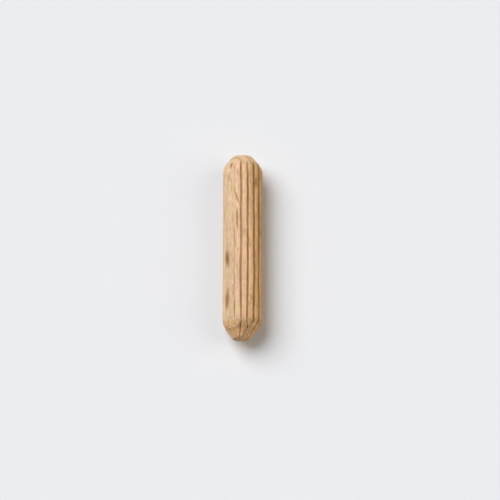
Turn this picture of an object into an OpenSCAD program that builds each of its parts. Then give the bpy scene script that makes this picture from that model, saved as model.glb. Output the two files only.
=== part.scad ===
// Fluted wooden dowel pin with a chamfer on each end, lying on its side.
// The pin's axis runs along Y and +Z is up. The origin is under the pin's middle,
// on the surface that it lies on. Angles round the pin start at its top and grow
// towards +X, so a flute at 90 is on the right flank and one at 180 is underneath.
// That lowest flute is the broadest, and the pin rests on the two ridges beside it.

/* [Pin] */
// Diameter over the ridges
pin_d = 8; // [7:0.5:10]
// Length over both ends
pin_length = 38; // [30:1:60]

/* [Ends] */
// Slope of the chamfers against the pin's axis, in degrees
chamfer_angle = 40; // [30:1:50]
// Diameter of the flat that the chamfer leaves at the near end (-Y)
near_flat_d = 3.2; // [2.5:0.1:4.5]
// Diameter of the flat that the chamfer leaves at the far end (+Y)
far_flat_d = 4.2; // [2.5:0.1:4.5]
// Rounding where a chamfer meets the straight shank
shoulder_r = 1.8; // [0.5:0.1:2.5]

/* [Flutes] */
// Number of flutes pressed round the pin, always even so that one is underneath
flute_count = 18; // [12:2:20]
// Depth of a full flute below the ridges
flute_depth = 0.32; // [0.2:0.02:0.36]
// Radius of the round nose that presses a flute
nose_r = 0.34; // [0.26:0.02:0.38]
// Width of the broad flute underneath, between the two ridges that the pin rests on
rest_flute_w = 1.3; // [1.1:0.05:1.3]
// How far the uppermost flute has crept off its even place, in degrees
creep = 4; // [0:0.5:6]

/* [Faded side] */
// Direction in which the flutes are faintest, in degrees from the top
fade_at = -60; // [-100:5:100]
// How far round the pin, each way from there, the flutes are weakened
fade_reach = 60; // [20:5:90]
// Share of its depth that a flute loses there
fade_loss = 0.96; // [0:0.02:1]
// A flute shallower than this is not pressed at all
faintest = 0.05; // [0.02:0.01:0.1]

/* [Splits] */
// Width of a drying split where it opens on the chamfer
split_w = 0.2; // [0.1:0.02:0.3]
// Depth of a drying split, square to the chamfer
split_depth = 0.45; // [0.2:0.05:0.8]

/* [Finish] */
// Colour of the beech
beech = "burlywood"; // [burlywood, tan, wheat]

/* [Hidden] */
$fn = 96;

pin_r = pin_d / 2;
end_y = pin_length / 2;

// The pin rests on the rims of its lowest flute, so its axis is as high above the
// ground as those rims are below the axis. The nose that pressed the flute is the
// circle through both rims and the flute's floor.
rest_half = rest_flute_w / 2;
axis_z = sqrt(pow(pin_r, 2) - pow(rest_half, 2));
rest_rise = flute_depth - (pin_r - axis_z);
rest_nose_r = (pow(rest_half, 2) + pow(rest_rise, 2)) / (2 * rest_rise);

// The splits follow the grain, so each keeps its distance from the pin's middle plane.
// One runs the whole slope of the near chamfer, the other its upper half.
split_x = [-0.4, 1];
split_share = [1, 0.5];
overrun = 1;

// Where a chamfer would meet the shank, were the shoulder not rounded.
function shoulder_y(flat_r) = end_y - (pin_r - flat_r) / tan(chamfer_angle);

// Even spacing, less a creep that is greatest at the top and gone underneath.
function flute_angle(i) = let (even = 360 * i / flute_count)
    even - creep * pow(cos(even / 2), 2);

// Smallest turn between two directions round the pin.
function turn_between(a, b) = abs((a - b + 540) % 360 - 180);

// Full depth away from the faded side, easing to almost nothing in its middle.
function fade(angle) = let (off = turn_between(angle, fade_at))
    off < fade_reach ? 1 - fade_loss * cos(90 * off / fade_reach) : 1;

function depth_at(angle) = flute_depth * fade(angle);

// What rounding takes off a shoulder: the tip outside the arc between shank and chamfer.
module shoulder_tip() {
    reach = shoulder_r * tan(chamfer_angle / 2);
    difference() {
        polygon([[0, -reach], [0, 0], [-reach * sin(chamfer_angle), reach * cos(chamfer_angle)]]);
        translate([-shoulder_r, -reach]) circle(shoulder_r);
    }
}

// Half of the pin's outline for one end, with x outwards from the axis and y along it.
module end_outline(flat_r) {
    difference() {
        polygon([[0, 0], [pin_r, 0], [pin_r, shoulder_y(flat_r)], [flat_r, end_y], [0, end_y]]);
        translate([pin_r, shoulder_y(flat_r)]) shoulder_tip();
    }
}

// The rod as turned, before anything is pressed into it.
module turned_rod() {
    rotate([-90, 0, 0]) rotate_extrude() {
        end_outline(far_flat_d / 2);
        mirror([0, 1]) end_outline(near_flat_d / 2);
    }
}

// The roller's nose for one flute. It runs past both ends, so that the flute runs out
// where the chamfer drops below its floor.
module flute_nose(angle, depth, radius) {
    rotate([0, angle, 0]) translate([0, -end_y - overrun, pin_r + radius - depth])
        rotate([-90, 0, 0]) cylinder(r = radius, h = pin_length + 2 * overrun);
}

// Every flute but the one underneath, leaving out those that have faded away.
module flutes() {
    for (i = [0 : flute_count - 1]) {
        angle = flute_angle(i);
        if (i != flute_count / 2 && depth_at(angle) >= faintest)
            flute_nose(angle, depth_at(angle), nose_r);
    }
}

// A wedge-shaped crack in the near chamfer (-Y), from its shoulder down share of its slope.
module drying_split(x, share) {
    slope = (pin_r - near_flat_d / 2) / sin(chamfer_angle);
    translate([x, -shoulder_y(near_flat_d / 2), pin_r]) rotate([chamfer_angle, 0, 0])
        rotate([90, 0, 0]) linear_extrude(slope * share)
            polygon([[-split_w / 2, overrun], [split_w / 2, overrun], [split_w / 2, 0],
                     [0, -split_depth], [-split_w / 2, 0]]);
}

module dowel_pin() {
    color(beech) translate([0, 0, axis_z]) difference() {
        turned_rod();
        flutes();
        flute_nose(180, flute_depth, rest_nose_r);
        for (i = [0, 1]) drying_split(split_x[i], split_share[i]);
    }
}

dowel_pin();
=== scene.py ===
"""A fluted beech dowel pin lying on a pale floor, with its light and camera.

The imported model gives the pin's size and place. This script gives it the surface of
pressed and cut wood: flutes that wander and fade, ridges with a slight crown, torn
grain on the chamfers, drying splits, and beech with growth rings, rays and pores.

Lengths are in metres, and MM makes them from millimetres. The pin's axis runs along Y.
Directions round the pin start at its top and grow towards +X. The pin's own shape is
worked out round its axis and lifted to its height at the end.
"""

import itertools
import math
from typing import NamedTuple

import bpy
import numpy as np
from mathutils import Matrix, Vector


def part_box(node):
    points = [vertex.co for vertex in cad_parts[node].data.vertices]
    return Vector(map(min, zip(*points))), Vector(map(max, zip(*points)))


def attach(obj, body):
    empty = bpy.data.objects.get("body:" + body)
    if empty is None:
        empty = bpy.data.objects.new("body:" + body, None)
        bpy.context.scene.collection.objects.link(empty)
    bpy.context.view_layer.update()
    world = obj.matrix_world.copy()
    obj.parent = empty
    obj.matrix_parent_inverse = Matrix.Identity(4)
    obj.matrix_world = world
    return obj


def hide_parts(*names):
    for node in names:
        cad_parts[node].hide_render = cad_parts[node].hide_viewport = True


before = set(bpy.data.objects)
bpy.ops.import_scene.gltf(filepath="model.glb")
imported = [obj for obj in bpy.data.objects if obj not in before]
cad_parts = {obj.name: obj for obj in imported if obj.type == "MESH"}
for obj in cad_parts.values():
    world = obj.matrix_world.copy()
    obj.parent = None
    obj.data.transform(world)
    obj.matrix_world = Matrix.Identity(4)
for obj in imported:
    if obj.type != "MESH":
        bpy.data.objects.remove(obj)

bl_info = {
    "name": "Fluted dowel pin",
    "version": (1, 0, 0),
    "blender": (4, 5, 0),
    "location": "3D View > Sidebar > Dowel pin",
    "description": "Makes a pressed beech dowel pin and the stage that shows it",
    "category": "Add Mesh",
}

MM = 0.001
FULL_TURN = 2 * math.pi
NODE = "dowel_pin"

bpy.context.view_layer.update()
NODE_LOW, NODE_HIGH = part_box(NODE)
PIN_RADIUS = (NODE_HIGH.x - NODE_LOW.x) / 2
END_Y = NODE_HIGH.y
AXIS_HEIGHT = NODE_HIGH.z - PIN_RADIUS

# The two ends, as the sign of their place along Y.
NEAR, FAR = -1, 1

# Point attributes that the mesh hands to the material, each from 0 to about 1.
MARK, PRESS_AND_SHADE, CREST_HIGHLIGHT, CUT = "mark", "press", "crest_highlight", "cut"


# ---------------------------------------------------------------- settings


def length_setting(name, description, default):
    """A length that the panel shows to a hundredth of a millimetre."""
    return bpy.props.FloatProperty(
        name=name, description=description, default=default, unit="LENGTH", precision=5
    )


def angle_setting(name, description, degrees):
    """An angle, given in degrees and stored in radians."""
    return bpy.props.FloatProperty(
        name=name, description=description, default=math.radians(degrees), subtype="ANGLE"
    )


def colour_setting(name, description, default):
    """A colour that the panel shows, stored as linear red, green and blue."""
    return bpy.props.FloatVectorProperty(
        name=name, description=description, default=default, subtype="COLOR", size=3, min=0, max=1
    )


class DowelShape(bpy.types.PropertyGroup):
    """Sizes of the pin's own surface. Its radius, length and height come from the imported model.
    """

    flute_count: bpy.props.IntProperty(
        name="Flutes", description="Flutes pressed round the pin, an even number",
        default=18, min=12, max=20,
    )
    flute_depth: length_setting("Flute depth", "Depth of a full flute below the ridges", 0.36 * MM)
    flute_width: length_setting(
        "Flute width", "Width of a full flute between its crowned ridges", 0.86 * MM
    )
    rest_flute_width: length_setting(
        "Lowest flute width", "Width of the broad flute that the pin lies on", 1.7 * MM
    )
    bowed_flute_width: length_setting(
        "Bowed flute width", "Width of the one broad flute that bows", 1.08 * MM
    )
    creep: angle_setting("Creep", "How far the top flute has crept off its even place", 4.8)
    bow: angle_setting("Bow", "How far one flute bows off its line in the pin's middle", 1.5)
    fade_at: angle_setting(
        "Fade direction", "Direction from the top in which flutes are faintest", -60
    )
    fade_reach: angle_setting(
        "Fade reach", "How far to each side of that direction flutes are weaker", 60
    )
    fade_loss: bpy.props.FloatProperty(
        name="Fade loss", description="Share of its depth that a flute loses in that direction",
        default=0.96, min=0, max=1, subtype="FACTOR",
    )
    near_flat: length_setting("Near flat", "Diameter of the flat at the near end", 3.2 * MM)
    far_flat: length_setting("Far flat", "Diameter of the flat at the far end", 4.2 * MM)
    near_skew: length_setting(
        "Near skew", "How far the near flat sits off the axis, towards -X", 0.3 * MM
    )
    far_skew: length_setting(
        "Far skew", "How far the far flat sits off the axis, towards -X", 0.12 * MM
    )
    furrow: bpy.props.FloatProperty(
        name="Furrows", description="Share of a flute's depth that marks the near chamfer",
        default=0.34, min=0, max=1, subtype="FACTOR",
    )
    chamfer_angle: angle_setting(
        "Chamfer angle", "Slope of the chamfers against the pin's axis", 39
    )
    shoulder_round: length_setting(
        "Shoulder rounding", "Radius where a chamfer meets the shank", 3.8 * MM
    )
    rim_round: length_setting("Rim rounding", "Radius where the chamfer meets the end", 0.18 * MM)
    split_width: length_setting("Split width", "Width of a drying split where it opens", 0.2 * MM)
    split_depth: length_setting("Split depth", "Depth of a drying split", 0.45 * MM)


class DowelColours(bpy.types.PropertyGroup):
    """Colours of the beech and of the floor."""

    early_wood: colour_setting(
        "Early wood", "Beech that grew early in each year", (0.730, 0.503, 0.312)
    )
    late_wood: colour_setting(
        "Late wood", "The darker line at the end of each year", (0.620, 0.400, 0.230)
    )
    ray: colour_setting("Rays", "The short brown flecks of the rays", (0.400, 0.215, 0.105))
    # A painted highlight: the crests between full flutes are painted lighter and pinker than the
    # skin.
    crest_highlight: colour_setting(
        "Ridges", "Crests between full flutes, rubbed bright by the press", (0.815, 0.525, 0.335)
    )
    # Partly wood browned by the press, partly painted shade: a flute takes more of it the deeper
    # it is.
    pressed: colour_setting(
        "Pressed wood", "Floor of a flute, browned by the press", (0.370, 0.192, 0.062)
    )
    mark: colour_setting("Marks", "Stains and rubbed places on the skin", (0.270, 0.130, 0.032))
    near_cut: colour_setting(
        "Near cut", "Browned end grain on the near chamfer and end", (0.715, 0.438, 0.218)
    )
    far_cut: colour_setting(
        "Far cut", "Pale end grain on the far chamfer and end", (0.720, 0.490, 0.300)
    )
    # Also painted shade: this tint darkens the +X and lower side, which faces away from the key
    # lamp.
    heart: colour_setting(
        "Heart side", "Tint of the side that grew nearer the heart", (0.870, 0.780, 0.570)
    )
    floor: colour_setting("Floor", "Colour of the floor and backdrop", (0.831, 0.839, 0.856))


class DowelStage(bpy.types.PropertyGroup):
    """Camera and light."""

    camera_elevation: angle_setting("Camera elevation", "How steeply the camera looks down", 71)
    camera_distance: length_setting(
        "Camera distance", "From the camera to the middle of the pin", 480 * MM
    )
    framed_width: length_setting(
        "Framed width", "Width of floor that the camera takes in", 99.3 * MM
    )
    pin_left: length_setting(
        "Pin left of middle", "How far left of the frame's middle the pin lies", 1.44 * MM
    )
    pin_above: length_setting(
        "Pin above middle", "How far above the frame's middle the pin lies", 0.43 * MM
    )
    key_level: bpy.props.FloatProperty(
        name="Key level", description="Level to which the key lamp lights level ground",
        default=0.745, min=0,
    )
    key_colour: colour_setting(
        "Key colour", "The key lamp's light, slightly cool", (0.940, 0.965, 1.000)
    )
    key_left: angle_setting("Key to the left", "Lean of the key lamp towards -X", 31)
    key_beyond: angle_setting("Key beyond", "Lean of the key lamp towards +Y", 25)
    side_level: bpy.props.FloatProperty(
        name="Side level", description="Level to which the side lamp lights level ground",
        default=0.166, min=0,
    )
    side_colour: colour_setting(
        "Side colour", "The side lamp's light, slightly warm", (1.000, 0.900, 0.760)
    )
    side_right: angle_setting("Side to the right", "Lean of the side lamp towards +X", 50)
    lamp_breadth: angle_setting("Lamp breadth", "How much of the sky each lamp spans", 50)
    fill_strength: bpy.props.FloatProperty(
        name="Fill", description="Strength of the even light from all round",
        default=0.14, min=0,
    )


# ---------------------------------------------------------------- noise and easing


# The second octave of a cloud: how far it is shifted, its size and its weight. The span
# brings both octaves together to about -1 to 1.
OCTAVE_SHIFT, OCTAVE_SIZE, OCTAVE_WEIGHT, OCTAVES_SPAN = 0.37, 0.47, 0.5, 1.3

# Large numbers that stir a lattice corner's place and seed into one number, from which
# the corner takes one of so many values.
PLACE_FACTORS = np.array((73856093, 19349663, 83492791))
SEED_FACTOR = 40503
STIRS = ((15, 73244475), (13, 60493))
LAST_SHIFT = 14
KEPT_BITS = 0x7FFFFFFF
VALUES = 65536


class Layer(NamedTuple):
    """Noise of this height, with cells of these sizes across and along the grain."""

    height: float
    across: float
    along: float
    seed: int

    @property
    def cell(self):
        """Size of a cell along X, Y and Z."""
        return np.array((self.across, self.along, self.across))


def smoothstep(low, high, value):
    """0 below low, 1 above high, and an even rise between them."""
    t = np.clip((value - low) / (high - low), 0, 1)
    return t * t * (3 - 2 * t)


def soft_min(a, b, reach):
    """The smaller of a and b, blended where they are closer than reach."""
    near = np.clip(1 - np.abs(a - b) / reach, 0, 1)
    return np.minimum(a, b) - near * near * reach / 4


def hump(off, reach):
    """1 at the middle, easing to 0 at reach."""
    return 0.5 + 0.5 * np.cos(np.pi * np.clip(off / reach, 0, 1))


def short_turn(start, end):
    """The turn from one direction to another, the short way round."""
    return (end - start + np.pi) % FULL_TURN - np.pi


def corner_value(corner, seed):
    """A repeatable number from -1 to 1 for each whole-numbered corner of the lattice."""
    mixed = np.bitwise_xor.reduce(corner * PLACE_FACTORS, axis=-1)
    mixed = (mixed ^ seed * SEED_FACTOR) & KEPT_BITS
    for shift, factor in STIRS:
        mixed = (mixed ^ mixed >> shift) * factor & KEPT_BITS
    return (mixed ^ mixed >> LAST_SHIFT) % VALUES / ((VALUES - 1) / 2) - 1


def lattice_noise(place, cell, seed):
    """Smooth noise from -1 to 1 at each place, on a lattice with cells of this size."""
    scaled = place / cell
    base = np.floor(scaled).astype(np.int64)
    ease = smoothstep(0, 1, scaled - base)
    total = np.zeros(place.shape[:-1])
    for corner in itertools.product((0, 1), repeat=3):
        weight = np.where(np.array(corner) == 1, ease, 1 - ease).prod(axis=-1)
        total += weight * corner_value(base + np.array(corner), seed)
    return total


def plain_relief(place, layer):
    """Height of a layer of plain noise."""
    return layer.height * lattice_noise(place, layer.cell, layer.seed)


def cloud(place, layer):
    """A layer's noise from about -1 to 1, with a finer octave turned off the first's lattice."""
    turned = place[..., [2, 1, 0]] + layer.cell * OCTAVE_SHIFT
    first = lattice_noise(place, layer.cell, layer.seed)
    second = lattice_noise(turned, layer.cell * OCTAVE_SIZE, layer.seed + 1)
    return (first + OCTAVE_WEIGHT * second) / OCTAVES_SPAN


def relief(place, layers):
    """Height of all these layers of cloud together."""
    return sum(layer.height * cloud(place, layer) for layer in layers)


# ---------------------------------------------------------------- the pin's surface


# How fine the mesh is: columns from one flute to the next, how much they draw together
# on a flute, and the length of a row on the shank, shoulders, chamfers and rims. All the
# columns of an even number of flutes have to be a multiple of 8, for the ends' grids.
COLUMNS_PER_FLUTE = 20
COLUMN_BUNCHING = 0.35
SHANK_ROW, SHOULDER_ROW, CHAMFER_ROW, RIM_ROW = 0.23 * MM, 0.12 * MM, 0.125 * MM, 0.05 * MM

# How the flutes wander in direction (radians), in depth and in width (a share of it). Each
# flute has a part of the lattice to itself, so many cells from the last one's.
LINE_LAYERS = (Layer(math.radians(1.4), 1, 5 * MM, 11), Layer(math.radians(0.5), 1, 1.3 * MM, 17))
DEPTH_LAYERS = (Layer(0.05 * MM, 1, 7 * MM, 23), Layer(0.03 * MM, 1, 1.8 * MM, 29))
WIDTH_LAYERS = (Layer(0.18, 1, 3 * MM, 31),)
FLUTES_APART = 3.0

# The flute that bows, where the one at the top is 0.
BOWED_FLUTE = 2

# A flute's width follows the root of its share of the full depth, kept within these.
LEAST_SHARE, MOST_SHARE = 0.05, 1.3

# A flute's section is a groove, sharper than a cosine, and a crown that rounds the ridges.
GROOVE_SHARPNESS = 1.3
CROWN_SHARE = 0.2

# The painted highlight on a crest shows more the deeper the flutes beside it are, and less
# the further down its own slope, over these ranges of shares of the full depth.
CREST_HIGHLIGHT_RISES, CREST_HIGHLIGHT_FALLS = (0.4, 0.8), (0.15, 0.5)

# The skin is an uneven rod with strands and fibres, a little inside the true cylinder.
SKIN_LAYERS = (
    Layer(0.020 * MM, 5.0 * MM, 11.0 * MM, 41),
    Layer(0.010 * MM, 0.30 * MM, 3.5 * MM, 43),
    Layer(0.006 * MM, 0.16 * MM, 1.6 * MM, 47),
)
SKIN_INSET = 0.03 * MM

# Cut wood has steps, torn grain and grit, and pits where a noise of their own is highest.
# It lies a little inside the true shape, and the far end is cleaner by this share.
CUT_LAYERS = (
    Layer(0.025 * MM, 1.2 * MM, 2.4 * MM, 53),
    Layer(0.060 * MM, 0.50 * MM, 0.9 * MM, 59),
    Layer(0.016 * MM, 0.16 * MM, 0.5 * MM, 61),
)
PITS = Layer(0.08 * MM, 0.40 * MM, 1.2 * MM, 67)
PIT_RANGE = (0.4, 0.85)
CUT_INSET = 0.045 * MM
FAR_CLEANNESS = 0.55

# Where a chamfer meets the skin: how close they are where they blend, how deep the blade
# went where the wood starts to show as cut and fully does, and how ragged that border is.
EDGE_BLEND = 0.06 * MM
CUT_SHOWS = (0.11 * MM, 0.25 * MM)
CUT_BORDER = Layer(0.05 * MM, 0.3 * MM, 1.5 * MM, 83)

# The flutes leave furrows on the near chamfer that grow to full over this depth of cut.
FURROW_RISE = 0.3 * MM

# The ends are eased off the axis over this length.
SKEW_LENGTH = 4 * MM

# An end is flat out to this share of its radius and has saw marks. It is darkened to this
# share of what the floor of a flute is: painted shade on the near end, which faces away
# from the key lamp.
FLAT_SHARE = 0.86
SAW_HEIGHT, SAW_PITCH, SAW_LEAN = 0.008 * MM, 0.21 * MM, 0.35
END_SHADE = {NEAR: 0.3, FAR: 0.0}


class Split(NamedTuple):
    """A drying split in the near end. It narrows between two shares of its length."""

    start_x: float
    end_x: float
    narrows_from: float
    narrows_to: float
    narrowing: float
    swelling: float


# One split runs on to the end, half as deep there, and the other closes half way.
SPLITS = (
    Split(-0.20 * MM, -0.28 * MM, 0.60, 1.00, 0.5, 0.8),
    Split(1.10 * MM, 1.25 * MM, 0.45, 0.65, 1.0, 0.242),
)

# A split's length along the pin, and the shares of it over which the split opens, where it
# is most swollen and how far the swelling reaches.
SPLIT_LENGTH = 2.9 * MM
SPLIT_OPENS_OVER, SPLIT_SWELLS_AT, SPLIT_SWELLS_OVER = 0.15, 0.45, 0.35

# How far below the end's upper rim a split is still open, and how far down it has closed.
SPLIT_OPEN_TO, SPLIT_CLOSED_AT = 0.1 * MM, 0.7 * MM

# A power below 1 makes a split's floor blunter than a sharp V.
SPLIT_BLUNTNESS = 0.6

# Splits weave and change in width (a share of it) only as they run along the grain, so
# these cells are far wider than the pin.
SPLIT_WEAVE = Layer(0.05 * MM, 9.0, 0.5 * MM, 71)
SPLIT_UNEVENNESS = Layer(0.3, 9.0, 0.7 * MM, 73)


class Mark(NamedTuple):
    """A stain or rubbed place, in degrees and millimetres, with its lean over each millimetre."""

    direction: float
    along: float
    half_length: float
    half_width: float
    lean: float
    strength: float


MARKS = (
    Mark(-50.5, -3.2, 2.0, 0.75, -1.0, 0.98),
    Mark(-51.5, -11.6, 2.2, 0.75, 1.0, 0.80),
    Mark(-37.0, 16.3, 0.8, 0.34, 3.0, 0.95),
    Mark(-44.0, 13.9, 1.1, 0.30, 2.0, 0.60),
    Mark(-16.8, 9.3, 2.0, 0.19, -5.0, 0.75),
    Mark(-16.5, 4.8, 2.4, 0.26, -0.5, 0.85),
    Mark(-24.5, -14.0, 2.4, 0.16, 0.0, 0.85),
    Mark(-25.0, 1.0, 2.6, 0.13, 0.0, 0.45),
    Mark(-70.0, 6.0, 2.0, 0.32, 1.0, 0.45),
    Mark(42.5, 12.8, 1.4, 0.42, 0.0, 0.62),
    Mark(52.0, -1.2, 1.3, 0.28, 0.0, 0.60),
    Mark(52.0, -7.8, 1.6, 0.28, 1.0, 0.60),
    Mark(118.0, -6.5, 1.7, 0.40, 1.5, 0.65),
    Mark(140.0, 8.0, 1.4, 0.34, -1.5, 0.55),
    Mark(-110.0, -9.0, 1.9, 0.42, 0.5, 0.60),
    Mark(-128.0, 3.0, 1.3, 0.36, 2.0, 0.50),
)

# A mark fades out over this range of its size, has a ragged outline and is dented in.
MARK_FADE = (0.35, 1.25)
MARK_BORDER = Layer(0.30, 0.25 * MM, 1.8 * MM, 79)
MARK_DENT = 0.03 * MM


def half_outline(shape, flat_radius):
    """Radius, height along the axis and slope angle from the pin's middle to one rim."""
    shoulder_cut = shape.shoulder_round * math.tan(shape.chamfer_angle / 2)
    rim_turn = math.pi / 2 - shape.chamfer_angle
    rim_cut = shape.rim_round * math.tan(rim_turn / 2)
    slope = (PIN_RADIUS - flat_radius) / math.sin(shape.chamfer_angle)
    shank_half = END_Y - slope * math.cos(shape.chamfer_angle) - shoulder_cut
    # Each stretch has a straight length, a turn, the turn's radius and its rows' length.
    stretches = (
        (shank_half, 0.0, 0.0, SHANK_ROW),
        (0.0, shape.chamfer_angle, shape.shoulder_round, SHOULDER_ROW),
        (slope - shoulder_cut - rim_cut, 0.0, 0.0, CHAMFER_ROW),
        (0.0, rim_turn, shape.rim_round, RIM_ROW),
    )
    radius, along, angle = [PIN_RADIUS], [0.0], [0.0]
    for straight, turn, bend, row in stretches:
        steps = math.ceil((straight + bend * turn) / row)
        chord = straight / steps + 2 * bend * math.sin(turn / steps / 2)
        for _ in range(steps):
            middle = angle[-1] + turn / steps / 2
            radius.append(radius[-1] - chord * math.sin(middle))
            along.append(along[-1] + chord * math.cos(middle))
            angle.append(angle[-1] + turn / steps)
    return np.array(radius), np.array(along), np.array(angle)


def whole_outline(shape):
    """The outline from the near rim, at -Y, to the far rim, with its slope signed by side."""
    near_radius, near_along, near_angle = half_outline(shape, shape.near_flat / 2)
    far_radius, far_along, far_angle = half_outline(shape, shape.far_flat / 2)
    return (
        np.concatenate((near_radius[:0:-1], far_radius)),
        np.concatenate((-near_along[:0:-1], far_along)),
        np.concatenate((-near_angle[:0:-1], far_angle)),
    )


def flute_angles(shape):
    """Direction of each flute: even spacing, less a creep that is greatest at the top."""
    even = np.arange(shape.flute_count) * FULL_TURN / shape.flute_count
    return even - shape.creep * np.cos(even / 2) ** 2


def flute_strength(shape, angle):
    """Share of the full depth that the press gave a flute in this direction."""
    off = np.abs(short_turn(shape.fade_at, angle))
    loss = shape.fade_loss * np.cos(off / shape.fade_reach * np.pi / 2)
    return np.where(off < shape.fade_reach, 1 - loss, 1.0)


def flutes_along(shape, along):
    """Direction, depth and width of every flute at each station along the pin."""
    spot = np.zeros((len(along), shape.flute_count, 3))
    spot[..., 0] = np.arange(shape.flute_count) * FLUTES_APART
    spot[..., 1] = along[:, None]
    angle = flute_angles(shape) + relief(spot, LINE_LAYERS)
    angle[:, BOWED_FLUTE] += shape.bow * np.cos(along / END_Y * np.pi / 2)
    strength = flute_strength(shape, flute_angles(shape))
    depth = np.maximum(shape.flute_depth * strength + relief(spot, DEPTH_LAYERS), 0)
    full = np.full(shape.flute_count, shape.flute_width)
    full[shape.flute_count // 2] = shape.rest_flute_width
    full[BOWED_FLUTE] = shape.bowed_flute_width
    share = np.clip(depth / shape.flute_depth, LEAST_SHARE, MOST_SHARE)
    width = full * np.sqrt(share) * (1 + relief(spot, WIDTH_LAYERS))
    return angle, depth, width


def pressed_columns(shape, along):
    """Directions of all columns, depth of the flutes and mask of their painted crest highlights.
    """
    flutes = flutes_along(shape, along)
    followers = [np.roll(values, -1, axis=1) for values in flutes]
    # The last flute is followed by the first, a full turn further on.
    followers[0][:, -1] += FULL_TURN
    (angle, depth, _), (next_angle, next_depth, _) = flutes, followers
    step = np.arange(COLUMNS_PER_FLUTE) / COLUMNS_PER_FLUTE
    share = step - COLUMN_BUNCHING * np.sin(FULL_TURN * step) / FULL_TURN
    theta = angle[..., None] * (1 - share) + next_angle[..., None] * share
    full = depth[..., None] * (1 - share) + next_depth[..., None] * share
    pitch = FULL_TURN * PIN_RADIUS / shape.flute_count
    drop = np.zeros_like(theta)
    for centre, deep, wide in (flutes, followers):
        off = np.abs(theta - centre[..., None]) * PIN_RADIUS
        groove = hump(off, wide[..., None] / 2) ** GROOVE_SHARPNESS
        crown = hump(off, pitch / 2)
        drop += deep[..., None] * ((1 - CROWN_SHARE) * groove + CROWN_SHARE * crown)
    crest_highlight = smoothstep(*CREST_HIGHLIGHT_RISES, full / shape.flute_depth)
    crest_highlight = crest_highlight * (1 - smoothstep(*CREST_HIGHLIGHT_FALLS, drop / shape.flute_depth))
    return tuple(values.reshape(len(along), -1) for values in (theta, drop, crest_highlight))


def cut_relief(place):
    """Height of the cut wood, rough at the near end and cleaner at the far one."""
    pits = PITS.height * smoothstep(*PIT_RANGE, cloud(place, PITS))
    rough = np.where(place[..., 1] < 0, 1, 1 - FAR_CLEANNESS)
    return (relief(place, CUT_LAYERS) - pits - CUT_INSET) * rough


def split_cut(shape, place):
    """Depth of the drying splits in the near end."""
    x, y, z = np.moveaxis(place, -1, 0)
    share = np.clip((SPLIT_LENGTH - END_Y - y) / SPLIT_LENGTH, 0, 1)
    weave = plain_relief(place, SPLIT_WEAVE)
    width = shape.split_width * (1 + plain_relief(place, SPLIT_UNEVENNESS))
    swell = hump(np.abs(share - SPLIT_SWELLS_AT), SPLIT_SWELLS_OVER)
    rim = shape.near_flat / 2
    upper = smoothstep(rim - SPLIT_CLOSED_AT, rim - SPLIT_OPEN_TO, z)
    opening = smoothstep(0, SPLIT_OPENS_OVER, share) * upper
    depth = np.zeros_like(x)
    for split in SPLITS:
        centre = split.start_x + (split.end_x - split.start_x) * share + weave
        half = width / 2 * (1 + split.swelling * swell)
        wedge = np.clip(1 - np.abs(x - centre) / half, 0, 1) ** SPLIT_BLUNTNESS
        kept = 1 - split.narrowing * smoothstep(split.narrows_from, split.narrows_to, share)
        depth = np.maximum(depth, shape.split_depth * wedge * kept * opening)
    return depth


def mark_strength(theta, place):
    """How strongly the skin is marked, from 0 to 1."""
    total = np.zeros_like(theta)
    ragged = relief(place, (MARK_BORDER,))
    for mark in MARKS:
        along = place[..., 1] / MM - mark.along
        centre = math.radians(mark.direction) + math.radians(mark.lean) * along
        across = short_turn(centre, theta) * PIN_RADIUS / MM
        distance = np.hypot(along / mark.half_length, across / mark.half_width) + ragged
        total = np.maximum(total, mark.strength * (1 - smoothstep(*MARK_FADE, distance)))
    return total


def shank_surface(shape):
    """Vertex grid of shank, shoulders and chamfers, and its masks by attribute name."""
    radius, along, slope = (values[:, None] for values in whole_outline(shape))
    theta, drop, crest_highlight = pressed_columns(shape, along[:, 0])
    # How deep the blade went below the pressed skin. It missed it where this is below 0.
    below = PIN_RADIUS - drop - radius
    furrow = shape.furrow * (along < 0) * smoothstep(0, FURROW_RISE, below)
    surface = soft_min(radius, PIN_RADIUS - drop, EDGE_BLEND) - furrow * drop
    outward = np.stack((np.sin(theta), np.zeros_like(theta), np.cos(theta)), axis=-1)
    place = outward * surface[..., None]
    place[..., 1] = along
    ragged = relief(place, (CUT_BORDER,)) * (below > 0)
    cut = smoothstep(*CUT_SHOWS, below + ragged)
    mark = mark_strength(theta, place)
    skin = relief(place, SKIN_LAYERS) - SKIN_INSET
    lift = skin * (1 - cut) + cut_relief(place) * cut - MARK_DENT * mark - split_cut(shape, place)
    normal = outward * np.cos(slope)[..., None]
    normal[..., 1] = np.sin(slope)
    place += normal * lift[..., None]
    for skew, end in ((shape.near_skew, NEAR), (shape.far_skew, FAR)):
        place[..., 0] -= skew * smoothstep(END_Y - SKEW_LENGTH, END_Y, end * along)
    # Share of a flute's depth, which the material paints as browned wood and as shade in the
    # flute.
    pressed = drop / shape.flute_depth * (1 - cut * (1 - furrow))
    return place, {PRESS_AND_SHADE: pressed, CREST_HIGHLIGHT: crest_highlight * (1 - cut), MARK: mark, CUT: cut}


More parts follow.
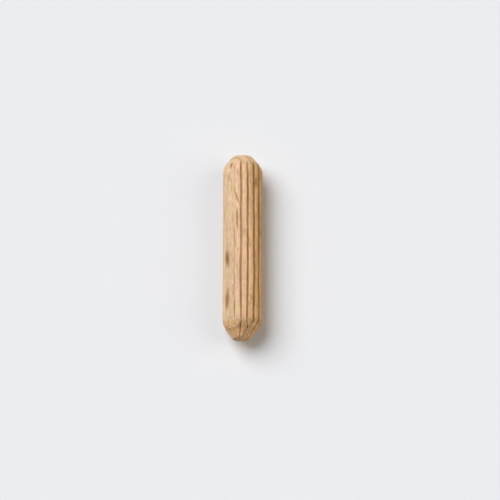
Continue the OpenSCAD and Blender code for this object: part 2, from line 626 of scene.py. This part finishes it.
def end_surface(shape, rim, end):
    """Vertex grid of one end, drawn in from its rim, which is a closed loop of columns.

    The grid's square rings follow the rim round. The outermost has as many points as the
    rim has columns, and the middle one is a single point on the axis. Returned with the
    grid are which of its points are on the rim and the columns that those belong to.
    """
    half = len(rim) // 8
    steps = np.arange(-half, half + 1)
    row, column = np.meshgrid(steps, steps, indexing="ij")
    ring = np.maximum(np.abs(row), np.abs(column))
    on_rim = ring == half
    # Points walked round the ring so far, of the ring's 8 * ring points.
    walked = np.select(
        (row == ring, column == ring, row == -ring),
        (column, 2 * ring - row, 4 * ring - column),
        6 * ring + row,
    )
    around = 8 * np.maximum(ring, 1)
    columns = walked % around * len(rim) / around
    before = np.floor(columns).astype(int)
    part = (columns - before)[..., None]
    edge = rim[before % len(rim)] * (1 - part) + rim[(before + 1) % len(rim)] * part
    place = edge * (ring / half)[..., None]
    place[..., 1] = end * END_Y
    saw = np.sin((place[..., 0] + SAW_LEAN * place[..., 2]) / SAW_PITCH * FULL_TURN)
    lift = cut_relief(place) - split_cut(shape, place) + SAW_HEIGHT * saw
    flat = 1 - smoothstep(FLAT_SHARE, 1, ring / half)
    place[..., 1] = edge[..., 1] * (1 - flat) + end * (END_Y + lift) * flat
    return place, on_rim, before[on_rim]


def grid_faces(index, closed):
    """Quads between the rows of a grid of vertex numbers, whose rows may close on themselves."""
    after = np.roll(index, -1, axis=1) if closed else index[:, 1:]
    before = index if closed else index[:, :-1]
    corners = (before[:-1], after[:-1], after[1:], before[1:])
    return np.stack(corners, axis=-1).reshape(-1, 4)


def whole_surface(shape):
    """Points and quads of the whole closed surface, and its masks by attribute name."""
    place, masks = shank_surface(shape)
    index = np.arange(place[..., 0].size).reshape(place.shape[:2])
    points, faces = [place.reshape(-1, 3)], [grid_faces(index, closed=True)]
    values = {name: [mask.ravel()] for name, mask in masks.items()}
    used = index.size
    for end, row in ((NEAR, 0), (FAR, -1)):
        flat, on_rim, columns = end_surface(shape, place[row], end)
        inside = flat[~on_rim]
        number = np.zeros(on_rim.shape, int)
        number[on_rim] = index[row, columns]
        number[~on_rim] = used + np.arange(len(inside))
        used += len(inside)
        points.append(inside)
        # The two ends face away from each other, so their quads wind opposite ways.
        faces.append(grid_faces(number, closed=False)[:, ::-end])
        fills = {PRESS_AND_SHADE: END_SHADE[end], CREST_HIGHLIGHT: 0.0, MARK: 0.0, CUT: 1.0}
        for name, fill in fills.items():
            values[name].append(np.full(len(inside), fill))
    values = {name: np.concatenate(parts) for name, parts in values.items()}
    return np.concatenate(points), np.concatenate(faces), values


def pin_mesh(shape):
    """The whole pin as one closed mesh at its height, with its masks as point attributes."""
    if shape.flute_count % 2:
        raise ValueError("the flute count has to be even, so that one flute is underneath")
    points, faces, values = whole_surface(shape)
    points[:, 2] += AXIS_HEIGHT
    mesh = bpy.data.meshes.new("pressed beech pin")
    mesh.from_pydata(points.tolist(), [], faces.tolist())
    for name, value in values.items():
        layer = mesh.attributes.new(name, "FLOAT", "POINT")
        layer.data.foreach_set("value", value.astype(np.float32))
    mesh.update()
    mesh.shade_smooth()
    return mesh


# ---------------------------------------------------------------- shader helpers


# Places of a Mix node's colour sockets, whose names it uses more than once.
MIX_FACTOR, MIX_FIRST, MIX_SECOND, MIX_RESULT = 0, 6, 7, 2

NOISE_ROUGHNESS = 0.55


class Shader:
    """Adds nodes to a node tree and joins them in one call."""

    def __init__(self, tree):
        self.tree = tree

    def join(self, value, socket):
        """Links another node's socket to this one, or sets this one to a plain value."""
        if isinstance(value, bpy.types.NodeSocket):
            self.tree.links.new(value, socket)
        else:
            socket.default_value = value

    def add(self, kind, inputs=(), **settings):
        """A node of this kind. Inputs are what to join to its sockets, by name or place."""
        node = self.tree.nodes.new(kind)
        for name, value in settings.items():
            setattr(node, name, value)
        for name, value in dict(inputs).items():
            self.join(value, node.inputs[name])
        return node

    def effect(self, tree, **inputs):
        """The outputs of a node group that is placed with these values of its own."""
        return self.add("ShaderNodeGroup", inputs, node_tree=tree).outputs

    def math(self, operation, *values):
        """The result of a Math node."""
        inputs = dict(enumerate(values))
        return self.add("ShaderNodeMath", inputs, operation=operation).outputs[0]

    def vector(self, operation, *values):
        """The outputs of a Vector Math node."""
        inputs = dict(enumerate(values))
        return self.add("ShaderNodeVectorMath", inputs, operation=operation).outputs

    def scaled(self, place, scale):
        """A place with each of its coordinates scaled."""
        return self.vector("MULTIPLY", place, scale)["Vector"]

    def remap(self, value, low, high, to_low=0.0, to_high=1.0):
        """An eased rise of value from one range to another."""
        inputs = {"Value": value, 1: low, 2: high, 3: to_low, 4: to_high}
        node = self.add("ShaderNodeMapRange", inputs, interpolation_type="SMOOTHSTEP")
        return node.outputs["Result"]

    def noise(self, place, across, along, detail=2.0):
        """Noise from 0 to 1, with this many cells a millimetre across and along the grain."""
        cells = self.scaled(place, (across, along, across))
        inputs = {"Vector": cells, "Scale": 1.0, "Detail": detail, "Roughness": NOISE_ROUGHNESS}
        return self.add("ShaderNodeTexNoise", inputs).outputs[0]

    def cells(self, place):
        """A Voronoi texture with cells of about one unit."""
        return self.add("ShaderNodeTexVoronoi", {"Vector": place, "Scale": 1.0}).outputs

    def mix(self, mode, factor, first, second):
        """Two colours mixed in this mode. Plain values are mixed as greys."""
        inputs = {MIX_FACTOR: factor, MIX_FIRST: first, MIX_SECOND: second}
        node = self.add("ShaderNodeMix", inputs, data_type="RGBA", blend_type=mode)
        return node.outputs[MIX_RESULT]

    def blend(self, factor, first, second):
        """The first colour where the factor is 0, turning to the second where it is 1."""
        return self.mix("MIX", factor, first, second)

    def cover(self, colour, mask, share, over):
        """A colour covered with this share of another where the mask is 1."""
        return self.blend(self.math("MULTIPLY", mask, share), colour, over)

    def multiply(self, colour, by, factor=1.0):
        """A colour multiplied by another one, or by a value."""
        return self.mix("MULTIPLY", factor, colour, by)

    def attribute(self, name):
        """A point attribute of the mesh as a value."""
        return self.add("ShaderNodeAttribute", attribute_name=name).outputs["Fac"]

    def axes(self, place):
        """The three coordinates of a place, by name."""
        return self.add("ShaderNodeSeparateXYZ", {0: place}).outputs


def opaque(colour):
    """A colour setting with full alpha."""
    return (*colour, 1.0)


def new_effect(name, inputs, outputs):
    """An empty node group. Returns its helper and the sockets of its inputs.

    Inputs are given with their defaults, and a default of three numbers makes a vector.
    """
    tree = bpy.data.node_groups.new(name, "ShaderNodeTree")
    for label, default in inputs.items():
        kind = "NodeSocketVector" if isinstance(default, tuple) else "NodeSocketFloat"
        tree.interface.new_socket(label, in_out="INPUT", socket_type=kind).default_value = default
    for label in outputs:
        tree.interface.new_socket(label, in_out="OUTPUT", socket_type="NodeSocketFloat")
    shader = Shader(tree)
    return shader, shader.add("NodeGroupInput").outputs


def new_material(name):
    """An empty material. Returns it, its helper and the sockets of its one surface."""
    material = bpy.data.materials.new(name)
    material.use_nodes = True
    surface = material.node_tree.nodes["Principled BSDF"]
    return material, Shader(material.node_tree), surface.inputs


# ---------------------------------------------------------------- beech


# Grain space is turned so far round the pin and starts at the pith, from where the pin's
# origin is so many millimetres away. The heart's tint, which is also painted shade on the
# side away from the key lamp, fades out over this range of Z.
GRAIN_TURN = math.radians(50)
FROM_PITH = (3.0, 0.0, 42.0)
HEART_AND_SHADE_FADES = (44.0, 47.5)
ORIGIN = (0.0, 0.0, 0.0)

# Millimetres from one growth ring to the next, and how far the rings wave. The line at
# the end of each year darkens and ends over these parts of the year.
RINGS = {"Spacing": 1.5, "Waviness": 1.2}
LATE_RISES, LATE_ENDS = (0.45, 0.93), (0.95, 1.0)

# Cells a millimetre for the rays, and the eased share of the cells that hold a fleck. A
# fleck fades out so far from the middle of its cell, and rays drift sideways.
SKIN_RAYS = {"Cells": (2.2, 0.42, 0.13), "Share": 0.5}
CUT_RAYS = {"Cells": (5.0, 0.6, 0.4), "Share": 0.6}
SHARE_EASE, FLECK_FADES = 0.05, (0.16, 0.42)
RAY_DRIFT, DRIFT_CELLS = 0.5, (0.9, 0.22, 0.3)

# Fibres and pores are shorter on cut wood. A pore fades out so far from its middle.
SKIN_FIBRES, CUT_FIBRES = {"Shortness": 0.3}, {"Shortness": 0.8}
PORE_FADES, PORE_CELLS = (0.10, 0.26), (7.0, 2.2, 7.0)

# The part of a noise over which a shade changes. A narrow part gives much contrast.
SKIN_SPAN, TINT_SPAN, CUT_SPAN, PATCH_SPAN = (0.3, 0.7), (0.38, 0.62), (0.36, 0.64), (0.35, 0.65)

# The skin's tint drifts from one of these to the other.
ROSY, STRAW = (1.03, 0.975, 1.03, 1.0), (0.98, 1.01, 0.90, 1.0)

# How strongly late wood, painted crest highlights, rays and pores show over the colour under them.
SKIN_LATE, SKIN_CREST_HIGHLIGHT, SKIN_RAY, SKIN_PORE = 0.6, 0.85, 0.5, 0.25
CUT_LATE, CUT_RAY, CUT_PORE = 0.5, 0.3, 0.4

# How much the far end shows of the near one's shades, and cut wood of the heart's tint and painted
# shade.
FAR_SHADES, HEART_AND_SHADE_ON_CUT = 0.3, 0.15

# Pressed wood darkens over this range of its depth, a share of the full one, and up to so
# much: partly browned by the press, partly painted shade in the flutes. In patches it
# counts as shallower or deeper by these factors.
DARKENS_OVER, MOST_BROWN_AND_SHADE, PATCHES = (0.14, 0.95), 0.90, (0.78, 1.22)

# The finest relief is a bump of this height, in which a full fibre counts as 1.
BUMP_HEIGHT, BUMP_STRENGTH = 0.035 * MM, 0.75
SKIN_PORE_DEPTH, CUT_PORE_DEPTH, HAIR_HEIGHT = 0.6, 0.8, 0.5

# Cut wood is this much rougher than the skin, and neither has much sheen.
SKIN_ROUGHNESS, CUT_ROUGHER = (0.5, 0.68), 0.18
WOOD_SHEEN = 0.2


class Effects(NamedTuple):
    """The node groups that the beech is made from."""

    rings: bpy.types.NodeTree
    rays: bpy.types.NodeTree
    fibres: bpy.types.NodeTree


def growth_rings_effect():
    """Yearly rings round a distant pith, in millimetres of grain space."""
    shader, given = new_effect("growth rings", {"Place": ORIGIN, **RINGS}, ("Late wood",))
    slow = shader.noise(given["Place"], across=0.22, along=0.05, detail=1.0)
    wave = shader.math("SUBTRACT", slow, 0.5)
    flat = shader.scaled(given["Place"], (1.0, 0.0, 1.0))
    distance = shader.vector("LENGTH", flat)["Value"]
    bent = shader.math("MULTIPLY_ADD", wave, given["Waviness"], distance)
    part = shader.math("FRACT", shader.math("DIVIDE", bent, given["Spacing"]))
    rise = shader.remap(part, *LATE_RISES)
    fall = shader.remap(part, *LATE_ENDS, 1.0, 0.0)
    shader.add("NodeGroupOutput", {"Late wood": shader.math("MULTIPLY", rise, fall)})
    return shader.tree


def ray_flecks_effect():
    """Rays: thin sheets that stand along the radius, seen as brown spindles on the bark side."""
    shader, given = new_effect("ray flecks", {"Place": ORIGIN, **SKIN_RAYS}, ("Fleck",))
    slow = shader.scaled(given["Place"], DRIFT_CELLS)
    drift = shader.add("ShaderNodeTexNoise", {"Vector": slow, "Scale": 1.0}).outputs["Color"]
    moved = shader.vector("SUBTRACT", drift, (0.5, 0.5, 0.5))["Vector"]
    sideways = shader.scaled(moved, (RAY_DRIFT, 0.0, RAY_DRIFT))
    place = shader.vector("ADD", given["Place"], sideways)["Vector"]
    cell = shader.cells(shader.scaled(place, given["Cells"]))
    spindle = shader.remap(cell["Distance"], *FLECK_FADES, 1.0, 0.0)
    # Each cell draws a number, and those below the share hold a fleck.
    draw = shader.add("ShaderNodeSeparateColor", {0: cell["Color"]}).outputs[0]
    shown = shader.math("SUBTRACT", given["Share"], draw)
    shown = shader.remap(shown, -SHARE_EASE, SHARE_EASE)
    shader.add("NodeGroupOutput", {"Fleck": shader.math("MULTIPLY", spindle, shown)})
    return shader.tree


def fibres_effect():
    """Fibres and the pores between them, drawn out along the grain."""
    inputs = {"Place": ORIGIN, **SKIN_FIBRES}
    shader, given = new_effect("fibres and pores", inputs, ("Fibre", "Pore"))
    scale = {"X": 1.0, "Y": given["Shortness"], "Z": 1.0}
    place = shader.scaled(given["Place"], shader.add("ShaderNodeCombineXYZ", scale).outputs[0])
    fibre = shader.noise(place, across=5.5, along=1.0, detail=3.0)
    cell = shader.cells(shader.scaled(place, PORE_CELLS))
    pore = shader.remap(cell["Distance"], *PORE_FADES, 1.0, 0.0)
    shader.add("NodeGroupOutput", {"Fibre": fibre, "Pore": pore})
    return shader.tree


def grain_place(shader):
    """Grain space in millimetres: X along the rings, Y along the pin, Z out from the pith."""
    coordinates = shader.add("ShaderNodeTexCoord").outputs["Object"]
    turn = (0.0, GRAIN_TURN, 0.0)
    scale = (1 / MM, 1 / MM, 1 / MM)
    inputs = {"Vector": coordinates, "Location": FROM_PITH, "Rotation": turn, "Scale": scale}
    return shader.add("ShaderNodeMapping", inputs).outputs[0]


def late_wood(shader, place, effects):
    """Mask of the darker line at the end of each year."""
    return shader.effect(effects.rings, Place=place, **RINGS)["Late wood"]


def pressed_skin(shader, place, colours, effects):
    """Colour, roughness and height of the shank's pressed skin."""
    late = late_wood(shader, place, effects)
    fleck = shader.effect(effects.rays, Place=place, **SKIN_RAYS)["Fleck"]
    fibre, pore = shader.effect(effects.fibres, Place=place, **SKIN_FIBRES)
    band = shader.noise(place, across=1.1, along=0.07)
    mottle = shader.noise(place, across=1.9, along=0.8, detail=3.0)
    hair = shader.noise(place, across=15.0, along=2.0)
    drift = shader.noise(place, across=1.3, along=0.4)
    early = opaque(colours.early_wood)
    colour = shader.cover(early, late, SKIN_LATE, opaque(colours.late_wood))
    # Painted highlight along the crests of the ridges.
    colour = shader.cover(colour, shader.attribute(CREST_HIGHLIGHT), SKIN_CREST_HIGHLIGHT, opaque(colours.crest_highlight))
    # Each noise is given with what it multiplies the colour by where it is low and high.
    shades = ((fibre, 1.08, 0.89), (band, 1.08, 0.91), (mottle, 0.90, 1.06), (hair, 1.07, 0.93))
    for noise, low, high in shades:
        colour = shader.multiply(colour, shader.remap(noise, *SKIN_SPAN, low, high))
    tint = shader.blend(shader.remap(drift, *TINT_SPAN), ROSY, STRAW)
    colour = shader.multiply(colour, tint)
    colour = shader.cover(colour, fleck, SKIN_RAY, opaque(colours.ray))
    colour = shader.cover(colour, pore, SKIN_PORE, opaque(colours.ray))
    rough = shader.remap(fibre, *SKIN_SPAN, *SKIN_ROUGHNESS)
    height = shader.math("SUBTRACT", fibre, shader.math("MULTIPLY", pore, SKIN_PORE_DEPTH))
    hairs = shader.math("MULTIPLY", hair, HAIR_HEIGHT)
    return colour, rough, shader.math("ADD", height, hairs)


def cut_grain(shader, place, colours, effects):
    """Colour and height of the cut grain on chamfers and ends."""
    late = late_wood(shader, place, effects)
    fleck = shader.effect(effects.rays, Place=place, **CUT_RAYS)["Fleck"]
    pore = shader.effect(effects.fibres, Place=place, **CUT_FIBRES)["Pore"]
    blotch = shader.noise(place, across=1.6, along=0.8, detail=3.0)
    grain = shader.noise(place, across=10.0, along=1.6)
    # 1 at the near end and 0 at the far one. No cut wood lies between them.
    near = shader.remap(shader.axes(place)["Y"], -1.0, 1.0, 1.0, 0.0)
    colour = shader.blend(near, opaque(colours.far_cut), opaque(colours.near_cut))
    colour = shader.cover(colour, late, CUT_LATE, opaque(colours.pressed))
    shown = shader.remap(near, 0.0, 1.0, FAR_SHADES, 1.0)
    for noise, low, high in ((blotch, 0.82, 1.17), (grain, 0.90, 1.10)):
        colour = shader.multiply(colour, shader.remap(noise, *CUT_SPAN, low, high), shown)
    colour = shader.cover(colour, fleck, CUT_RAY, opaque(colours.early_wood))
    colour = shader.cover(colour, pore, CUT_PORE, opaque(colours.ray))
    pores = shader.math("MULTIPLY", pore, CUT_PORE_DEPTH)
    return colour, shader.math("SUBTRACT", grain, pores)


def beech(colours, effects):
    """Pressed beech that turns to cut grain at the ends, browner towards the heart.

    The heart's tint also paints shade on the side away from the key lamp, the flutes' browning
    paints shade in them, and the crests carry a painted highlight.
    """
    material, shader, surface = new_material("pressed and cut beech")
    place = grain_place(shader)
    skin_colour, skin_rough, skin_height = pressed_skin(shader, place, colours, effects)
    cut_colour, cut_height = cut_grain(shader, place, colours, effects)
    cut = shader.attribute(CUT)
    colour = shader.blend(cut, skin_colour, cut_colour)
    patch = shader.noise(place, across=0.9, along=0.32)
    patch = shader.remap(patch, *PATCH_SPAN, *PATCHES)
    # Flute floors darken with their depth: partly browned by the press, partly painted shade.
    pressed = shader.math("MULTIPLY", shader.attribute(PRESS_AND_SHADE), patch)
    browned = shader.remap(pressed, *DARKENS_OVER, 0.0, MOST_BROWN_AND_SHADE)
    colour = shader.blend(browned, colour, opaque(colours.pressed))
    colour = shader.blend(shader.attribute(MARK), colour, opaque(colours.mark))
    # Browner towards the heart, and painted shade on the +X and lower side, away from the key
    # lamp.
    heart = shader.remap(shader.axes(place)["Z"], *HEART_AND_SHADE_FADES, 1.0, 0.0)
    shown = shader.remap(cut, 0.0, 1.0, 1.0, HEART_AND_SHADE_ON_CUT)
    heart = shader.math("MULTIPLY", heart, shown)
    colour = shader.multiply(colour, opaque(colours.heart), heart)
    rough = shader.math("MULTIPLY_ADD", cut, CUT_ROUGHER, skin_rough)
    height = shader.blend(cut, skin_height, cut_height)
    inputs = {"Height": height, "Distance": BUMP_HEIGHT, "Strength": BUMP_STRENGTH}
    normal = shader.add("ShaderNodeBump", inputs).outputs[0]
    shader.join(colour, surface["Base Color"])
    shader.join(rough, surface["Roughness"])
    shader.join(normal, surface["Normal"])
    shader.join(WOOD_SHEEN, surface["Specular IOR Level"])
    return material


# ---------------------------------------------------------------- the stage


# How far the floor reaches each way, and the nearest and farthest that the camera sees.
FLOOR_REACH = 2.0
CLIP_START, CLIP_END = 10 * MM, 10.0
FLOOR_ROUGHNESS = 0.9


def make_floor(colours):
    """A pale floor, wide enough that its far edge is lost against the backdrop."""
    low, high = -FLOOR_REACH, FLOOR_REACH
    mesh = bpy.data.meshes.new("floor")
    corners = [(low, low, 0), (high, low, 0), (high, high, 0), (low, high, 0)]
    mesh.from_pydata(corners, [], [(0, 1, 2, 3)])
    material, shader, surface = new_material("pale floor")
    shader.join(opaque(colours.floor), surface["Base Color"])
    shader.join(FLOOR_ROUGHNESS, surface["Roughness"])
    shader.join(0.0, surface["Specular IOR Level"])
    mesh.materials.append(material)
    floor = bpy.data.objects.new("floor", mesh)
    floor.location.z = NODE_LOW.z
    bpy.context.scene.collection.objects.link(floor)


def make_world(colours, fill):
    """Even light from all round, behind a backdrop of the floor's colour."""
    world = bpy.data.worlds.new("soft room")
    bpy.context.scene.world = world
    world.use_nodes = True
    shader = Shader(world.node_tree)
    background = world.node_tree.nodes["Background"]
    path = shader.add("ShaderNodeLightPath").outputs
    seen = shader.math("MAXIMUM", path["Is Camera Ray"], path["Is Glossy Ray"])
    seen = shader.math("MAXIMUM", seen, path["Is Transmission Ray"])
    light = opaque((fill, fill, fill))
    colour = shader.blend(seen, light, opaque(colours.floor))
    shader.join(colour, background.inputs["Color"])


def make_lamp(name, right, beyond, breadth, level, colour):
    """A broad soft lamp that leans right and beyond by these angles from straight above."""
    data = bpy.data.lights.new(name, "SUN")
    toward = Vector((math.tan(right), math.tan(beyond), 1)).normalized()
    data.angle = breadth
    # A sun lamp of strength pi straight above shows a white floor at a level of 1.
    data.energy = level * math.pi / toward.z
    data.color = colour
    lamp = bpy.data.objects.new(name, data)
    lamp.rotation_euler = toward.to_track_quat("Z", "Y").to_euler()
    bpy.context.scene.collection.objects.link(lamp)


def make_camera(stage):
    """The camera, looking down along the pin from beyond its near end."""
    data = bpy.data.cameras.new("camera")
    data.angle = 2 * math.atan(stage.framed_width / 2 / stage.camera_distance)
    data.clip_start, data.clip_end = CLIP_START, CLIP_END
    camera = bpy.data.objects.new("camera", data)
    tilt = stage.camera_elevation
    back = Vector((0, -math.cos(tilt), math.sin(tilt)))
    up = Vector((0, math.sin(tilt), math.cos(tilt)))
    middle = Vector((0, 0, AXIS_HEIGHT))
    aim = middle + Vector((stage.pin_left, 0, 0)) - up * stage.pin_above
    camera.location = aim + back * stage.camera_distance
    camera.rotation_euler = back.to_track_quat("Z", "Y").to_euler()
    bpy.context.scene.collection.objects.link(camera)
    bpy.context.scene.camera = camera


# ---------------------------------------------------------------- operators and panel


class DOWEL_OT_make_pin(bpy.types.Operator):
    """Make the pin's pressed and cut surface in place of the plain model"""

    bl_idname = "dowel.make_pin"
    bl_label = "Make pin"

    def execute(self, context):
        shape, colours = context.scene.dowel_shape, context.scene.dowel_colours
        mesh = pin_mesh(shape)
        effects = Effects(growth_rings_effect(), ray_flecks_effect(), fibres_effect())
        mesh.materials.append(beech(colours, effects))
        pin = bpy.data.objects.new("fluted_pin", mesh)
        context.scene.collection.objects.link(pin)
        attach(pin, "root")
        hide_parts(NODE)
        return {"FINISHED"}


class DOWEL_OT_make_stage(bpy.types.Operator):
    """Make the floor, the light and the camera"""

    bl_idname = "dowel.make_stage"
    bl_label = "Make stage"

    def execute(self, context):
        colours, stage = context.scene.dowel_colours, context.scene.dowel_stage
        context.scene.view_settings.view_transform = "Standard"
        make_floor(colours)
        make_world(colours, stage.fill_strength)
        key, side = (stage.key_level, stage.key_colour), (stage.side_level, stage.side_colour)
        make_lamp("key lamp", -stage.key_left, stage.key_beyond, stage.lamp_breadth, *key)
        make_lamp("side lamp", stage.side_right, 0.0, stage.lamp_breadth, *side)
        make_camera(stage)
        return {"FINISHED"}


class DOWEL_PT_panel(bpy.types.Panel):
    """The operators in the order in which they are used, and all the settings"""

    bl_label = "Dowel pin"
    bl_idname = "DOWEL_PT_panel"
    bl_space_type = "VIEW_3D"
    bl_region_type = "UI"
    bl_category = "Dowel pin"

    def draw(self, context):
        for operator in OPERATORS:
            self.layout.operator(operator.bl_idname)
        for name, kind in SETTINGS.items():
            box = self.layout.box()
            for setting in kind.__annotations__:
                box.prop(getattr(context.scene, name), setting)


OPERATORS = (DOWEL_OT_make_pin, DOWEL_OT_make_stage)
CLASSES = (DowelShape, DowelColours, DowelStage, *OPERATORS, DOWEL_PT_panel)
SETTINGS = {"dowel_shape": DowelShape, "dowel_colours": DowelColours, "dowel_stage": DowelStage}


def register():
    """Adds the classes, and the settings to every scene."""
    for kind in CLASSES:
        bpy.utils.register_class(kind)
    for name, kind in SETTINGS.items():
        setattr(bpy.types.Scene, name, bpy.props.PointerProperty(type=kind))


def unregister():
    """Takes away what register added."""
    for name in SETTINGS:
        delattr(bpy.types.Scene, name)
    for kind in reversed(CLASSES):
        bpy.utils.unregister_class(kind)


def main():
    """Makes everything in order."""
    register()
    bpy.ops.dowel.make_pin()
    bpy.ops.dowel.make_stage()


if __name__ == "__main__":
    main()
